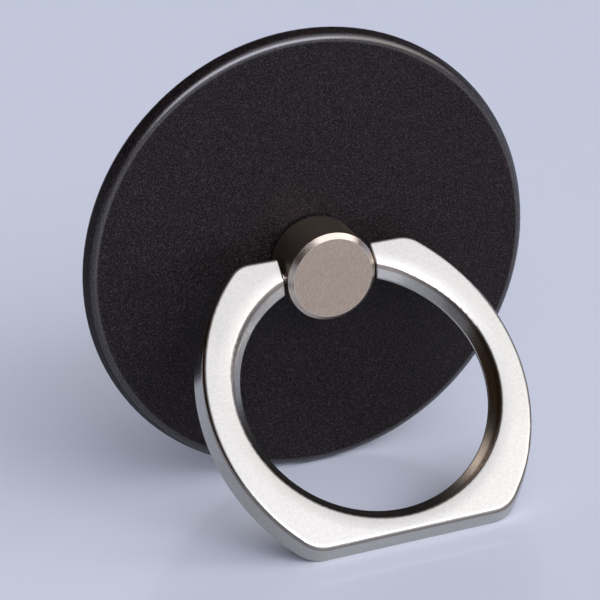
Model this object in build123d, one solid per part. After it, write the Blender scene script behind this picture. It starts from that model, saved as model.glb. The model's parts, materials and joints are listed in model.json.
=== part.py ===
"""Phone ring holder: a round stick-on plate, a swivelling post and a finger ring that folds out as a stand.

Millimetres. The holder stands on a table: +Z is up and the table is z = 0. The ring's hinge runs along X, and
the ring stands in front of the plate, towards -Y. The origin is under the middle of the standing holder.

Each piece is made in the plate's own frame: the origin is the middle of the plate's front face, x runs along
the hinge, y up the plate and z out of its front face. The ring is drawn folded down over the plate.
"""

import os
from math import cos, degrees, isclose, radians, sin, tan

from build123d import *

# Plate: a round zinc casting with a thin-looking edge
plate_d = 40.0
rim_w = 0.45            # sloping edge, across the face
rim_h = 1.0             # sloping edge, down from the face
rim_r = 0.8             # rounding between the face and the sloping edge
rim_land = 0.2          # straight part of the edge
back_bevel_w = 1.5      # how far the bevel brings the back in
back_land = 0.9         # flat ring between the bevel and the pad's seat
web_t = 0.9             # metal left round the bore

# Adhesive pad in the back of the plate
pad_t = 0.8
pad_seat_depth = 0.3
pad_gap = 0.1           # between the pad's edge and its seat

# Swivel: flanged bush, disc spring, washer and the post's riveted tail
stem_d = 3.6
bush_wall = 0.6
bush_flange_d = 7.0
bush_flange_t = 0.3
spring_d = 8.0
spring_t = 0.25
spring_rise = 0.2       # how far the spring is dished
washer_d = 7.4
washer_t = 0.3
tail_d = 5.0
tail_t = 0.35
cavity_d = 9.0
tail_room = 0.1         # between the tail and the pad

# Post
post_d = 7.8
post_top = 4.8          # head above the plate's face
post_chamfer = 0.4
hinge_height = 3.1      # hinge above the plate's face

# Hinge pin
pin_d = 1.0
pin_reach = 2.6         # how far it enters each end of the ring
pin_chamfer = 0.15
pin_end_gap = 0.2       # between the pin's end and the bottom of its bore

# Finger ring: its outline is drawn at the back, and the sides draw in towards the front
hole_d = 21.0           # at its narrowest, halfway through the ring
hole_bevel = 45.0       # degrees that the hole opens towards the front and the back
hole_ridge_r = 0.25     # rounding where the two bevels meet
hole_clear = 0.7        # hinge to the top of the finger hole
side_bar = 3.7          # width of each side at its widest place
side_lag = 0.3          # widest place, below the middle of the hole
side_r = 17.5           # radius of each bowed side
side_draft = 13.8       # degrees that the outer sides draw in
front_edge_r = 0.45     # rounding of the front edges
foot_bar = 2.7          # between the hole and the flat foot
top_rise = 2.0          # hinge to the flat top
shoulder_r = 3.0        # corners between top and sides
foot_corner_r = 3.2     # corners between foot and sides
end_edge_r = 0.2        # rounded edges of the two ends beside the post
ring_t = 2.0
ring_break = 0.25       # bevel of the back edges
ring_open = 47.8        # degrees that the ring stands open, from folded down

# Fits
press_gap = 0.01        # radial, pieces pressed together
running_gap = 0.05      # radial and axial, pieces that turn on each other
end_gap = 0.2           # between the ring's ends and the post

# Sizes that follow from those above
plate_r = plate_d / 2
back_r = plate_r - back_bevel_w
pad_seat_r = back_r - back_land
pad_r = pad_seat_r - pad_gap
bush_inner_r = stem_d / 2 + running_gap
bush_outer_r = bush_inner_r + bush_wall
plate_bore_r = bush_outer_r + press_gap
spring_top = -web_t
spring_h = spring_t + spring_rise
washer_top = spring_top - spring_h - running_gap
tail_top = washer_top - washer_t
pad_seat_z = tail_top - tail_t - tail_room
plate_t = pad_seat_depth - pad_seat_z
post_base = bush_flange_t + running_gap
end_half = post_d / 2 + end_gap
pin_half = end_half + pin_reach
ring_w = hole_d + 2 * side_bar
hole_corner_r = hole_d / 2 - hole_ridge_r * (1 / cos(radians(hole_bevel)) - 1)
hole_mouth_r = hole_corner_r + ring_t / 2 * tan(radians(hole_bevel))
hole_drop = hole_d / 2 + hole_clear
side_drop = hole_drop + side_lag
foot_drop = hole_drop + hole_d / 2 + foot_bar


def turned(points):
    """A solid turned about the plate's axis from an outline of (radius, height) points."""
    outline = Plane.XZ * make_face(Polyline(*points, close=True))
    return revolve(outline, Axis.Z)


def base_plate():
    """Round plate: rounded sloping edge, bevelled back, stepped open inside for bush, spring and pad."""
    face_corner = (plate_r - rim_w, 0)
    outline = make_face(Polyline(
        (plate_bore_r, 0),
        face_corner,
        (plate_r, -rim_h),
        (plate_r, -rim_h - rim_land),
        (back_r, -plate_t),
        (pad_seat_r, -plate_t),
        (pad_seat_r, pad_seat_z),
        (cavity_d / 2, pad_seat_z),
        (cavity_d / 2, spring_top),
        (plate_bore_r, spring_top),
        close=True,
    ))
    outline = fillet(outline.vertices().sort_by_distance(face_corner)[0], rim_r)
    return revolve(Plane.XZ * outline, Axis.Z)


def adhesive_pad():
    """Die-cut foam pad that lies on the floor of its seat and stands proud of the plate's back."""
    return Pos(0, 0, pad_seat_z - pad_t / 2) * Cylinder(pad_r, pad_t)


def swivel_bush():
    """Plastic bush in the plate's bore, with a flange between the plate's face and the post."""
    return turned([
        (bush_inner_r, bush_flange_t),
        (bush_flange_d / 2, bush_flange_t),
        (bush_flange_d / 2, 0),
        (bush_outer_r, 0),
        (bush_outer_r, spring_top),
        (bush_inner_r, spring_top),
    ])


def disc_spring():
    """Dished washer: its outer edge bears on the plate, its inner edge on the retaining washer."""
    inner_r = stem_d / 2 + running_gap
    return turned([
        (spring_d / 2, spring_top),
        (spring_d / 2, spring_top - spring_t),
        (inner_r, spring_top - spring_h),
        (inner_r, spring_top - spring_rise),
    ])


def retaining_washer():
    """Flat washer held on the stem by the riveted tail."""
    inner_r = stem_d / 2 + press_gap
    return turned([
        (inner_r, washer_top),
        (washer_d / 2, washer_top),
        (washer_d / 2, tail_top),
        (inner_r, tail_top),
    ])


def swivel_post():
    """Turned post: chamfered head, stem through bush and spring, riveted tail, bored across for the pin."""
    tail_end_r = tail_d / 2 - tail_t
    post = turned([
        (0, post_top),
        (post_d / 2 - post_chamfer, post_top),
        (post_d / 2, post_top - post_chamfer),
        (post_d / 2, post_base),
        (stem_d / 2, post_base),
        (stem_d / 2, tail_top),
        (tail_d / 2, tail_top),
        (tail_end_r, tail_top - tail_t),
        (0, tail_top - tail_t),
    ])
    cross_bore = Cylinder(pin_d / 2 + press_gap, 2 * post_d, rotation=(0, 90, 0))
    return post - Pos(0, 0, hinge_height) * cross_bore


def hinge_pin():
    """Steel pin pressed across the post, with chamfered ends that carry the ring."""
    pin = Cylinder(pin_d / 2, 2 * pin_half, rotation=(0, 90, 0))
    pin = chamfer(pin.edges().filter_by(GeomType.CIRCLE), pin_chamfer)
    return Pos(0, 0, hinge_height) * pin


def finger_hole():
    """The room of the finger hole: narrowest in the middle, bevelled open towards both faces."""
    corner = (hole_corner_r, 0)
    outline = make_face(Polyline(
        (0, ring_t / 2),
        (hole_mouth_r, ring_t / 2),
        corner,
        (hole_mouth_r, -ring_t / 2),
        (0, -ring_t / 2),
        close=True,
    ))
    outline = fillet(outline.vertices().sort_by_distance(corner)[0], hole_ridge_r)
    return revolve(Plane.XZ * outline, Axis.Z)


def finger_ring():
    """Open ring plate: bowed sides, flat foot and top, bevelled hole, and two ends bored for the pin."""
    side_centre = side_r - ring_w / 2
    bows = Pos(-side_centre, -side_drop) * Circle(side_r)
    bows &= Pos(side_centre, -side_drop) * Circle(side_r)
    band_middle = (top_rise - foot_drop) / 2
    outline = bows & Pos(0, band_middle) * Rectangle(ring_w, top_rise + foot_drop)
    outline = fillet(outline.vertices().group_by(Axis.Y)[0], foot_corner_r)
    outline = fillet(outline.vertices().group_by(Axis.Y)[-1], shoulder_r)

    ring = Pos(0, 0, -ring_t / 2) * extrude(outline, ring_t, taper=side_draft)
    ring -= Pos(0, -hole_drop) * finger_hole()
    ring = fillet(ring.faces().sort_by(Axis.Z)[-1].edges(), front_edge_r)
    ring = chamfer(ring.faces().sort_by(Axis.Z)[0].edges(), ring_break)

    slot_h = hole_drop + 2 * top_rise
    ring -= Pos(0, slot_h / 2 - hole_drop) * Box(2 * end_half, slot_h, 2 * ring_t)
    ends = [face for face in ring.faces().filter_by(Axis.X) if isclose(abs(face.center().X), end_half)]
    ring = fillet([edge for face in ends for edge in face.edges()], end_edge_r)

    bore_end = pin_half + pin_end_gap
    pin_bore = Cylinder(pin_d / 2 + running_gap, 2 * bore_end, rotation=(0, 90, 0))
    return ring - pin_bore


def rim_reach(lean):
    """How far the plate's rim reaches below the middle of its face, when the top leans forward."""
    return plate_r * cos(lean) - rim_h * sin(lean)


def foot_reach(lean):
    """How far the bevelled back edge of the foot reaches below the middle of the plate's face."""
    slope = radians(ring_open) - lean
    draft = radians(side_draft)
    wall_edge = (foot_drop - ring_break * sin(draft), ring_t / 2 - ring_break * cos(draft))
    back_edge = (foot_drop - ring_break, ring_t / 2)
    reach = max(along * cos(slope) + behind * sin(slope) for along, behind in (wall_edge, back_edge))
    return hinge_height * sin(lean) + reach


def standing_lean():
    """The lean at which rim and foot stand on the same table, found by halving."""
    low, high = 0.0, radians(ring_open)
    halvings = 60
    for _ in range(halvings):
        middle = (low + high) / 2
        if rim_reach(middle) > foot_reach(middle):
            low = middle
        else:
            high = middle
    return low


lean = standing_lean()
on_hinge = Pos(0, 0, hinge_height) * Rot(X=-ring_open)
pieces = {
    "base_plate": base_plate(),
    "adhesive_pad": adhesive_pad(),
    "swivel_bush": swivel_bush(),
    "disc_spring": disc_spring(),
    "retaining_washer": retaining_washer(),
    "swivel_post": swivel_post(),
    "hinge_pin": hinge_pin(),
    "finger_ring": on_hinge * finger_ring(),
}

# Stand the holder on the table, with the middle of its depth over the origin
upright = Pos(0, 0, rim_reach(lean)) * Rot(X=90 + degrees(lean))
standing = {name: upright * piece for name, piece in pieces.items()}
boxes = [piece.bounding_box() for piece in standing.values()]
front = min(box.min.Y for box in boxes)
back = max(box.max.Y for box in boxes)
centring = Pos(0, -(front + back) / 2, 0)

os.makedirs("parts", exist_ok=True)
for name, piece in standing.items():
    export_step(centring * piece, f"parts/{name}.step")

swivel_place = (centring * upright).position
hinge_place = (centring * upright * Pos(0, 0, hinge_height)).position
print(f"lean {degrees(lean):.4f} degrees, plate {plate_t:.3f} thick")
print(f"swivel at {swivel_place}, hinge at {hinge_place}")
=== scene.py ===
import json
from math import cos, pi, radians, sin

import bmesh
import bpy
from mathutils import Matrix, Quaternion, Vector


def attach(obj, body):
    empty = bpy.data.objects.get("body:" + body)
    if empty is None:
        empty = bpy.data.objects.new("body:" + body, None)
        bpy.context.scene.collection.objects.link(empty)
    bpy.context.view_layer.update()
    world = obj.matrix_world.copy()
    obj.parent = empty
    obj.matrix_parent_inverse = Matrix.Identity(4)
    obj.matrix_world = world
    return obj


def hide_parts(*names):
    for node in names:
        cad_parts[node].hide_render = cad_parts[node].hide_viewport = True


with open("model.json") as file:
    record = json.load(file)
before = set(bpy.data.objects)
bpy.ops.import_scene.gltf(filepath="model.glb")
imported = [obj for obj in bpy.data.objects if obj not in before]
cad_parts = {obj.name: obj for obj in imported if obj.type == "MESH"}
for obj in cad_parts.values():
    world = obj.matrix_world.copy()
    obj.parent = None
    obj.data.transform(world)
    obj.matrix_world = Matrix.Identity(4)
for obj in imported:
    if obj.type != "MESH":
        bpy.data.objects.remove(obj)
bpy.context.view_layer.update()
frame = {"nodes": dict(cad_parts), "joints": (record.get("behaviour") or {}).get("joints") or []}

# Base plate
# Round zinc casting with a sloping edge and a bore in the middle for the swivel.
# It is blasted and then coated in matte black, and everything else is carried on it.
mm = 0.001
swivel = next(joint for joint in frame["joints"] if joint["name"] == "post_swivel")


def colour(code):
    """An sRGB hex colour as linear red, green, blue and alpha."""
    shares = [int(code[i:i + 2], 16) / 255 for i in (1, 3, 5)]
    linear = [s / 12.92 if s <= 0.04045 else ((s + 0.055) / 1.055) ** 2.4 for s in shares]
    return (*linear, 1.0)


def add(tree, kind, inputs=(), **settings):
    """Adds a node with its settings. Each input is a value, or the socket of another node to link."""
    node = tree.nodes.new(kind)
    for name, value in settings.items():
        setattr(node, name, value)
    for name, value in dict(inputs).items():
        if isinstance(value, bpy.types.NodeSocket):
            tree.links.new(value, node.inputs[name])
        else:
            node.inputs[name].default_value = value
    return node


def ramp(tree, share, stops):
    """Colours along a share from 0 to 1, through stops of position and sRGB hex colour in rising order."""
    node = add(tree, "ShaderNodeValToRGB", {"Fac": share})
    elements = node.color_ramp.elements
    for element, (position, code) in zip(elements, (stops[0], stops[-1])):
        element.position = position
        element.color = colour(code)
    for position, code in stops[1:-1]:
        elements.new(position).color = colour(code)
    return node.outputs["Color"]


def from_axis(tree, place):
    """How far a place is from the Z axis of its coordinates."""
    flat = add(tree, "ShaderNodeVectorMath", {0: place, 1: (1.0, 1.0, 0.0)}, operation="MULTIPLY")
    length = add(tree, "ShaderNodeVectorMath", {0: flat.outputs["Vector"]}, operation="LENGTH")
    return length.outputs["Value"]


def on_swivel(tree, place):
    """Coordinates with the swivel's place as their origin and its axis as Z."""
    facing = Vector(swivel["axis"]).to_track_quat("Z", "X").to_euler()
    inputs = {"Vector": place, "Location": swivel["pos_m"], "Rotation": facing}
    return add(tree, "ShaderNodeMapping", inputs, vector_type="TEXTURE").outputs["Vector"]


def empty_material(name):
    """A new material and its node tree, with no nodes in it."""
    material = bpy.data.materials.new(name)
    material.use_nodes = True
    material.node_tree.nodes.clear()
    return material, material.node_tree


def finished(material, inputs):
    """The material, with a shader that has these inputs as its surface."""
    tree = material.node_tree
    shader = add(tree, "ShaderNodeBsdfPrincipled", inputs)
    add(tree, "ShaderNodeOutputMaterial", {"Surface": shader.outputs["BSDF"]})
    return material


def coat(node_name, material):
    """Gives a solid its finish."""
    mesh = frame["nodes"][node_name].data
    mesh.materials.clear()
    mesh.materials.append(material)


def matte_black_coating():
    """Sprayed coating on a blasted casting: dull black, sandy, and rubbed glossy on the rounded edge."""
    grain = 0.12 * mm
    rub_from = 19.0 * mm
    rub_to = 19.8 * mm
    rub_stops = ((0.0, "#000000"), (0.2, "#ffffff"), (0.65, "#ffffff"), (0.9, "#000000"))
    material, tree = empty_material("matte_black_coating")
    place = add(tree, "ShaderNodeTexCoord").outputs["Object"]
    across = add(tree, "ShaderNodeMapRange", {
        "Value": from_axis(tree, on_swivel(tree, place)),
        "From Min": rub_from,
        "From Max": rub_to,
    })
    sand = add(tree, "ShaderNodeTexNoise", {"Vector": place, "Scale": 1 / grain, "Detail": 2.0})
    bump = add(tree, "ShaderNodeBump", {
        "Height": sand.outputs["Fac"],
        "Strength": 0.6,
        "Distance": 0.03 * mm,
    })
    return finished(material, {
        "Base Color": ramp(tree, sand.outputs["Fac"], ((0.48, "#000000"), (0.64, "#2a2123"))),
        "Roughness": 0.45,
        "Specular IOR Level": 0.18,
        "Coat Weight": ramp(tree, across.outputs["Result"], rub_stops),
        "Coat Roughness": 0.25,
        "Coat IOR": 1.6,
        "Normal": bump.outputs["Normal"],
    })


coat("base_plate", matte_black_coating())


# Swivel bush
# Flanged bush of black acetal, turned, pressed into the plate's bore.
# Its flange keeps the post off the plate, and shows as a thin dark line under the post.
def black_acetal():
    """Turned acetal: near black, waxy, with a faint mottle."""
    mottle = 0.4 * mm
    material, tree = empty_material("black_acetal")
    place = add(tree, "ShaderNodeTexCoord").outputs["Object"]
    cloud = add(tree, "ShaderNodeTexNoise", {"Vector": place, "Scale": 1 / mottle, "Detail": 3.0})
    polish = add(tree, "ShaderNodeMapRange", {"Value": cloud.outputs["Fac"], "To Min": 0.35, "To Max": 0.55})
    return finished(material, {
        "Base Color": colour("#0c0b0b"),
        "Roughness": polish.outputs["Result"],
        "IOR": 1.48,
    })


coat("swivel_bush", black_acetal())


# Swivel post
# Turned steel post, nickel plated, with a faced and chamfered head and a bore across it for the pin.
# Its stem goes through bush, spring and washer, and its tail is riveted over behind them.
def turned_nickel():
    """Plated and faced on a lathe: warm grey with fine scratches and faint tool rings, and a smoother chamfer
    painted lighter as a highlight.
    """
    ring_pitch = 0.3 * mm      # the real tool marks are about a third of this, too fine to show
    scratch = 0.16 * mm
    scratch_turn = 1.1         # radians
    scratch_scale = (0.45, 1.0, 1.0)
    chamfer_from = 8.25 * mm   # radius and height together, which come to 8.3 mm on the chamfer
    chamfer_to = 8.29 * mm
    material, tree = empty_material("turned_nickel")
    place = add(tree, "ShaderNodeTexCoord").outputs["Object"]
    centred = on_swivel(tree, place)
    upright = add(tree, "ShaderNodeVectorMath", {0: centred, 1: (0.0, 0.0, 1.0)}, operation="MULTIPLY")
    height = add(tree, "ShaderNodeVectorMath", {0: upright.outputs["Vector"]}, operation="LENGTH")
    outward = add(tree, "ShaderNodeMath", {
        0: from_axis(tree, centred),
        1: height.outputs["Value"],
    }, operation="ADD")
    chamfer = add(tree, "ShaderNodeMapRange", {
        "Value": outward.outputs["Value"],
        "From Min": chamfer_from,
        "From Max": chamfer_to,
    })
    polish = add(tree, "ShaderNodeMapRange", {
        "Value": chamfer.outputs["Result"],
        "To Min": 0.33,
        "To Max": 0.24,
    })
    rings = add(tree, "ShaderNodeTexWave", {
        "Vector": centred,
        "Scale": pi / 10 / ring_pitch,
        "Distortion": 1.5,
        "Detail Scale": 2.0,
    }, wave_type="RINGS", rings_direction="Z")
    along = add(tree, "ShaderNodeMapping", {
        "Vector": centred,
        "Rotation": (0.0, 0.0, scratch_turn),
        "Scale": scratch_scale,
    })
    lines = add(tree, "ShaderNodeTexNoise", {
        "Vector": along.outputs["Vector"],
        "Scale": 1 / scratch,
        "Detail": 2.0,
        "Distortion": 1.5,
    })
    marks = add(tree, "ShaderNodeMix", {"Factor": 0.9, "A": rings.outputs["Fac"], "B": lines.outputs["Fac"]})
    bump = add(tree, "ShaderNodeBump", {
        "Height": marks.outputs["Result"],
        "Strength": 0.3,
        "Distance": 0.02 * mm,
    })
    # The chamfer's lighter colour is a painted highlight; its lower roughness is the real smoother cut.
    tone = add(tree, "ShaderNodeMixRGB", {
        "Fac": chamfer.outputs["Result"],
        "Color1": ramp(tree, marks.outputs["Result"], ((0.3, "#9f9080"), (0.7, "#b3a494"))),
        "Color2": colour("#cfc3b4"),
    })
    return finished(material, {
        "Base Color": tone.outputs["Color"],
        "Metallic": 1.0,
        "Roughness": polish.outputs["Result"],
        "Normal": bump.outputs["Normal"],
    })


coat("swivel_post", turned_nickel())


# Disc spring, retaining washer and hinge pin
# Stamped spring steel, a stamped washer and a drawn pin, all bright and lightly oiled.
# The riveted tail holds the washer against the spring; the pin is pressed across the post.
def bright_steel():
    """Rolled and drawn steel: cool grey, with streaks left by the rolls."""
    streak = 0.15 * mm
    streak_scale = (0.1, 1.0, 1.0)
    material, tree = empty_material("bright_steel")
    place = add(tree, "ShaderNodeTexCoord").outputs["Object"]
    along = add(tree, "ShaderNodeMapping", {"Vector": place, "Scale": streak_scale})
    lines = add(tree, "ShaderNodeTexNoise", {
        "Vector": along.outputs["Vector"],
        "Scale": 1 / streak,
        "Detail": 2.0,
    })
    polish = add(tree, "ShaderNodeMapRange", {"Value": lines.outputs["Fac"], "To Min": 0.22, "To Max": 0.42})
    return finished(material, {
        "Base Color": colour("#bcbab8"),
        "Metallic": 1.0,
        "Roughness": polish.outputs["Result"],
    })


steel = bright_steel()
for hidden_piece in ("disc_spring", "retaining_washer", "hinge_pin"):
    coat(hidden_piece, steel)


# Finger ring
# Zinc casting with bowed sides, a flat foot and a round finger hole, bevelled from both faces.
# It is blasted, plated in satin nickel and hung on the two ends of the pin.
hinge = next(joint for joint in frame["joints"] if joint["name"] == "ring_hinge")
ring_slope = radians(39.69)    # between the standing ring and the upright
hole_drop = 11.2 * mm          # hinge to the middle of the finger hole
hole_place = Vector(hinge["pos_m"]) - hole_drop * Vector((0.0, sin(ring_slope), cos(ring_slope)))


def satin_nickel():
    """Pale silky blasted face, rolled down a little at the hole, smoother walls, and a thin brown line painted
    along each face edge as a painted reflection of the dark room.
    """
    grain = 0.18 * mm          # blasting grit, drawn about twice as coarse as it is
    face_height = 1.0 * mm
    wall_top = 0.9 * mm
    face_edge = 0.98 * mm
    # The brown band just below the face is painted shade: it stands in for the dark reflection on the edge
    # rounding.
    painted_shade_depth = 0.35 * mm
    painted_shade_stops = ((0.0, "#000000"), (0.25, "#d0d0d0"), (0.65, "#d0d0d0"), (0.85, "#000000"))
    hole_r = 11.3 * mm
    roll_w = 1.3 * mm
    roll_drop = 0.1 * mm
    material, tree = empty_material("satin_nickel")
    place = add(tree, "ShaderNodeTexCoord").outputs["Object"]
    on_hole = add(tree, "ShaderNodeMapping", {
        "Vector": place,
        "Location": hole_place,
        "Rotation": (pi / 2 - ring_slope, 0.0, 0.0),
    }, vector_type="TEXTURE").outputs["Vector"]
    inward = add(tree, "ShaderNodeMapRange", {
        "Value": from_axis(tree, on_hole),
        "From Min": hole_r + roll_w,
        "From Max": hole_r,
    })
    rolled = add(tree, "ShaderNodeMath", {0: inward.outputs["Result"], 1: 2.0}, operation="POWER")
    roll = add(tree, "ShaderNodeBump", {
        "Height": rolled.outputs["Value"],
        "Distance": roll_drop,
    }, invert=True)
    front = add(tree, "ShaderNodeVectorMath", {0: on_hole, 1: (0.0, 0.0, 1.0)}, operation="DOT_PRODUCT")
    polish = add(tree, "ShaderNodeMapRange", {
        "Value": front.outputs["Value"],
        "From Min": wall_top,
        "From Max": face_edge,
        "To Min": 0.2,
        "To Max": 0.37,
    })
    depth = add(tree, "ShaderNodeMapRange", {
        "Value": front.outputs["Value"],
        "From Min": face_height - painted_shade_depth,
        "From Max": face_height,
    })
    sand = add(tree, "ShaderNodeTexNoise", {"Vector": place, "Scale": 1 / grain, "Detail": 2.0})
    # Painted reflection: along the edge band the nickel is turned brown.
    tone = add(tree, "ShaderNodeMixRGB", {
        "Fac": ramp(tree, depth.outputs["Result"], painted_shade_stops),
        "Color1": ramp(tree, sand.outputs["Fac"], ((0.3, "#abaaa4"), (0.7, "#b6b5ae"))),
        "Color2": colour("#6e5c4e"),
    })
    bump = add(tree, "ShaderNodeBump", {
        "Height": sand.outputs["Fac"],
        "Strength": 0.12,
        "Distance": 0.02 * mm,
        "Normal": roll.outputs["Normal"],
    })
    return finished(material, {
        "Base Color": tone.outputs["Color"],
        "Metallic": 1.0,
        "Roughness": polish.outputs["Result"],
        "Normal": bump.outputs["Normal"],
    })


def evenly_shaded(node_name):
    """A solid's own shape, shaded by its larger faces, so that narrow roundings shine in even lines."""
    smooth_limit = radians(40)
    weld = 0.001 * mm
    solid = frame["nodes"][node_name]
    shell = bmesh.new()
    shell.from_mesh(solid.data)
    shell.transform(solid.matrix_world)
    bmesh.ops.remove_doubles(shell, verts=shell.verts, dist=weld)
    shell.normal_update()
    normals = []
    for face in shell.faces:
        for corner in face.loops:
            around = corner.vert.link_faces
            near = [other for other in around if other.normal.angle(face.normal, 0.0) < smooth_limit]
            weighted = sum((other.normal * other.calc_area() for other in near), Vector())
            normals.append(weighted.normalized())
    mesh = bpy.data.meshes.new(f"{node_name}_shell")
    shell.to_mesh(mesh)
    shell.free()
    mesh.shade_smooth()
    mesh.normals_split_custom_set(normals)
    return bpy.data.objects.new(f"{node_name}_shell", mesh)


ring = evenly_shaded("finger_ring")
ring.data.materials.append(satin_nickel())
bpy.context.scene.collection.objects.link(ring)
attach(ring, "ring")
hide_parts("finger_ring")


# Adhesive pad
# Round die-cut pad of grey acrylic foam, tacky on both sides.
# It lies in the shallow seat of the plate's back and sticks the holder to a phone.
def acrylic_foam():
    """Closed-cell foam with an adhesive skin: mid grey, soft, with small cells showing through."""
    cell = 0.35 * mm
    material, tree = empty_material("acrylic_foam")
    place = add(tree, "ShaderNodeTexCoord").outputs["Object"]
    cells = add(tree, "ShaderNodeTexVoronoi", {"Vector": place, "Scale": 1 / cell})
    bump = add(tree, "ShaderNodeBump", {
        "Height": cells.outputs["Distance"],
        "Strength": 0.3,
        "Distance": 0.05 * mm,
    })
    return finished(material, {
        "Base Color": ramp(tree, cells.outputs["Distance"], ((0.0, "#77777a"), (1.0, "#909093"))),
        "Roughness": 0.5,
        "Normal": bump.outputs["Normal"],
    })


coat("adhesive_pad", acrylic_foam())

# Table
# A pale smooth table top that turns up into a wall all round, so that every side has a plain background.
# The wall rises behind the holder, and is painted dark brown in front of it as the shade of a dim room.
table_tone = "#cad0db"


def table_top():
    """Flat in the middle, then a quarter round and a wall, turned about the upright axis."""
    flat_r = 1.3
    bend_r = 0.15
    wall_h = 0.32
    wall_rise = 0.6
    bend_steps = 10
    turns = 96
    outline = [(0.0, 0.0), (flat_r / 4, 0.0), (flat_r / 2, 0.0)]
    for step in range(bend_steps + 1):
        angle = pi / 2 * step / bend_steps
        outline.append((flat_r + bend_r * sin(angle), bend_r * (1 - cos(angle))))
    verts = []
    for turn in range(turns):
        angle = 2 * pi * turn / turns
        top = (flat_r + bend_r, wall_h + wall_rise * max(0.0, sin(angle)) ** 2)
        verts += [(r * cos(angle), r * sin(angle), z) for r, z in outline + [top]]
    faces = []
    count = len(outline) + 1
    for turn in range(turns):
        here = turn * count
        there = (turn + 1) % turns * count
        faces += [(here + i, there + i, there + i + 1, here + i + 1) for i in range(count - 1)]
    mesh = bpy.data.meshes.new("table_top")
    mesh.from_pydata(verts, [], faces)
    mesh.validate()
    for polygon in mesh.polygons:
        polygon.use_smooth = True
    return bpy.data.objects.new("table_top", mesh)


def pale_lacquer():
    """Lacquered board: pale blue grey, dull below a thin clear coat that mirrors faintly."""
    material, _ = empty_material("pale_lacquer")
    return finished(material, {
        "Base Color": colour(table_tone),
        "Roughness": 0.5,
        "Specular IOR Level": 0.2,
        "Coat Weight": 0.3,
        "Coat Roughness": 0.1,
    })


def shaded_wall():
    """Dull wall, pale towards the sides, with painted shade: dark brown in front, standing for a dim room."""
    # The brown in front is painted shade of the dim room, which the metal mirrors.
    brown_to = -1.2
    pale_from = -0.2
    material, tree = empty_material("shaded_wall")
    place = add(tree, "ShaderNodeTexCoord").outputs["Object"]
    back = add(tree, "ShaderNodeVectorMath", {0: place, 1: (0.0, 1.0, 0.0)}, operation="DOT_PRODUCT")
    share = add(tree, "ShaderNodeMapRange", {
        "Value": back.outputs["Value"],
        "From Min": brown_to,
        "From Max": pale_from,
    })
    return finished(material, {
        "Base Color": ramp(tree, share.outputs["Result"], ((0.0, "#463125"), (1.0, table_tone))),
        "Roughness": 0.7,
    })


table = table_top()
table.data.materials.append(pale_lacquer())
table.data.materials.append(shaded_wall())
for polygon in table.data.polygons:
    polygon.material_index = int(polygon.center.z > 0)
bpy.context.scene.collection.objects.link(table)

# Light
# A wide softbox above the right shoulder, a window low in front and a door at the right.
# They stand equally far from the holder, in a dim brown room.
lamp_distance = 3.0


def panel(name, shape, towards, width, height, radiance, tint):
    """A lamp panel that faces the holder from a direction, with the radiance that a mirror would show."""
    lamp = bpy.data.lights.new(name, "AREA")
    lamp.shape = shape
    lamp.size = width
    lamp.size_y = height
    area = width * height * (pi / 4 if shape == "ELLIPSE" else 1.0)
    lamp.energy = 4 * radiance * area
    lamp.color = colour(tint)[:3]
    holder = bpy.data.objects.new(name, lamp)
    direction = Vector(towards).normalized()
    holder.location = direction * lamp_distance
    holder.rotation_mode = "QUATERNION"
    holder.rotation_quaternion = direction.to_track_quat("Z", "Y")
    bpy.context.scene.collection.objects.link(holder)


panel("softbox", "ELLIPSE", (0.47, -0.62, 0.63), width=5.2, height=5.0, radiance=1.35, tint="#f4f5ff")
panel("window", "RECTANGLE", (0.03, -0.91, 0.42), width=3.0, height=1.6, radiance=5.8, tint="#f0f0ff")
panel("door", "RECTANGLE", (0.66, -0.63, 0.41), width=1.7, height=1.4, radiance=2.2, tint="#fff0dc")

room = bpy.data.worlds.new("room")
room.use_nodes = True
room.node_tree.nodes.clear()
glow = add(room.node_tree, "ShaderNodeBackground", {"Color": colour("#c08f64"), "Strength": 0.06})
add(room.node_tree, "ShaderNodeOutputWorld", {"Surface": glow.outputs["Background"]})
bpy.context.scene.world = room

# Camera
# A long lens, above and to the left of the holder, held a little off level.
camera_place = Vector((-63.16, -174.99, 74.17)) * mm
camera_aim = Vector((-1.66, 6.30, 16.28)) * mm
camera_roll = radians(-5.12)
lens = bpy.data.cameras.new("camera")
lens.sensor_width = 36.0
lens.lens = 140.7
lens.clip_start = 0.01
camera = bpy.data.objects.new("camera", lens)
camera.location = camera_place
camera.rotation_mode = "QUATERNION"
level = (camera_aim - camera_place).to_track_quat("-Z", "Y")
camera.rotation_quaternion = level @ Quaternion((0.0, 0.0, 1.0), camera_roll)
bpy.context.scene.collection.objects.link(camera)
bpy.context.scene.camera = camera
bpy.context.scene.view_settings.view_transform = "Standard"
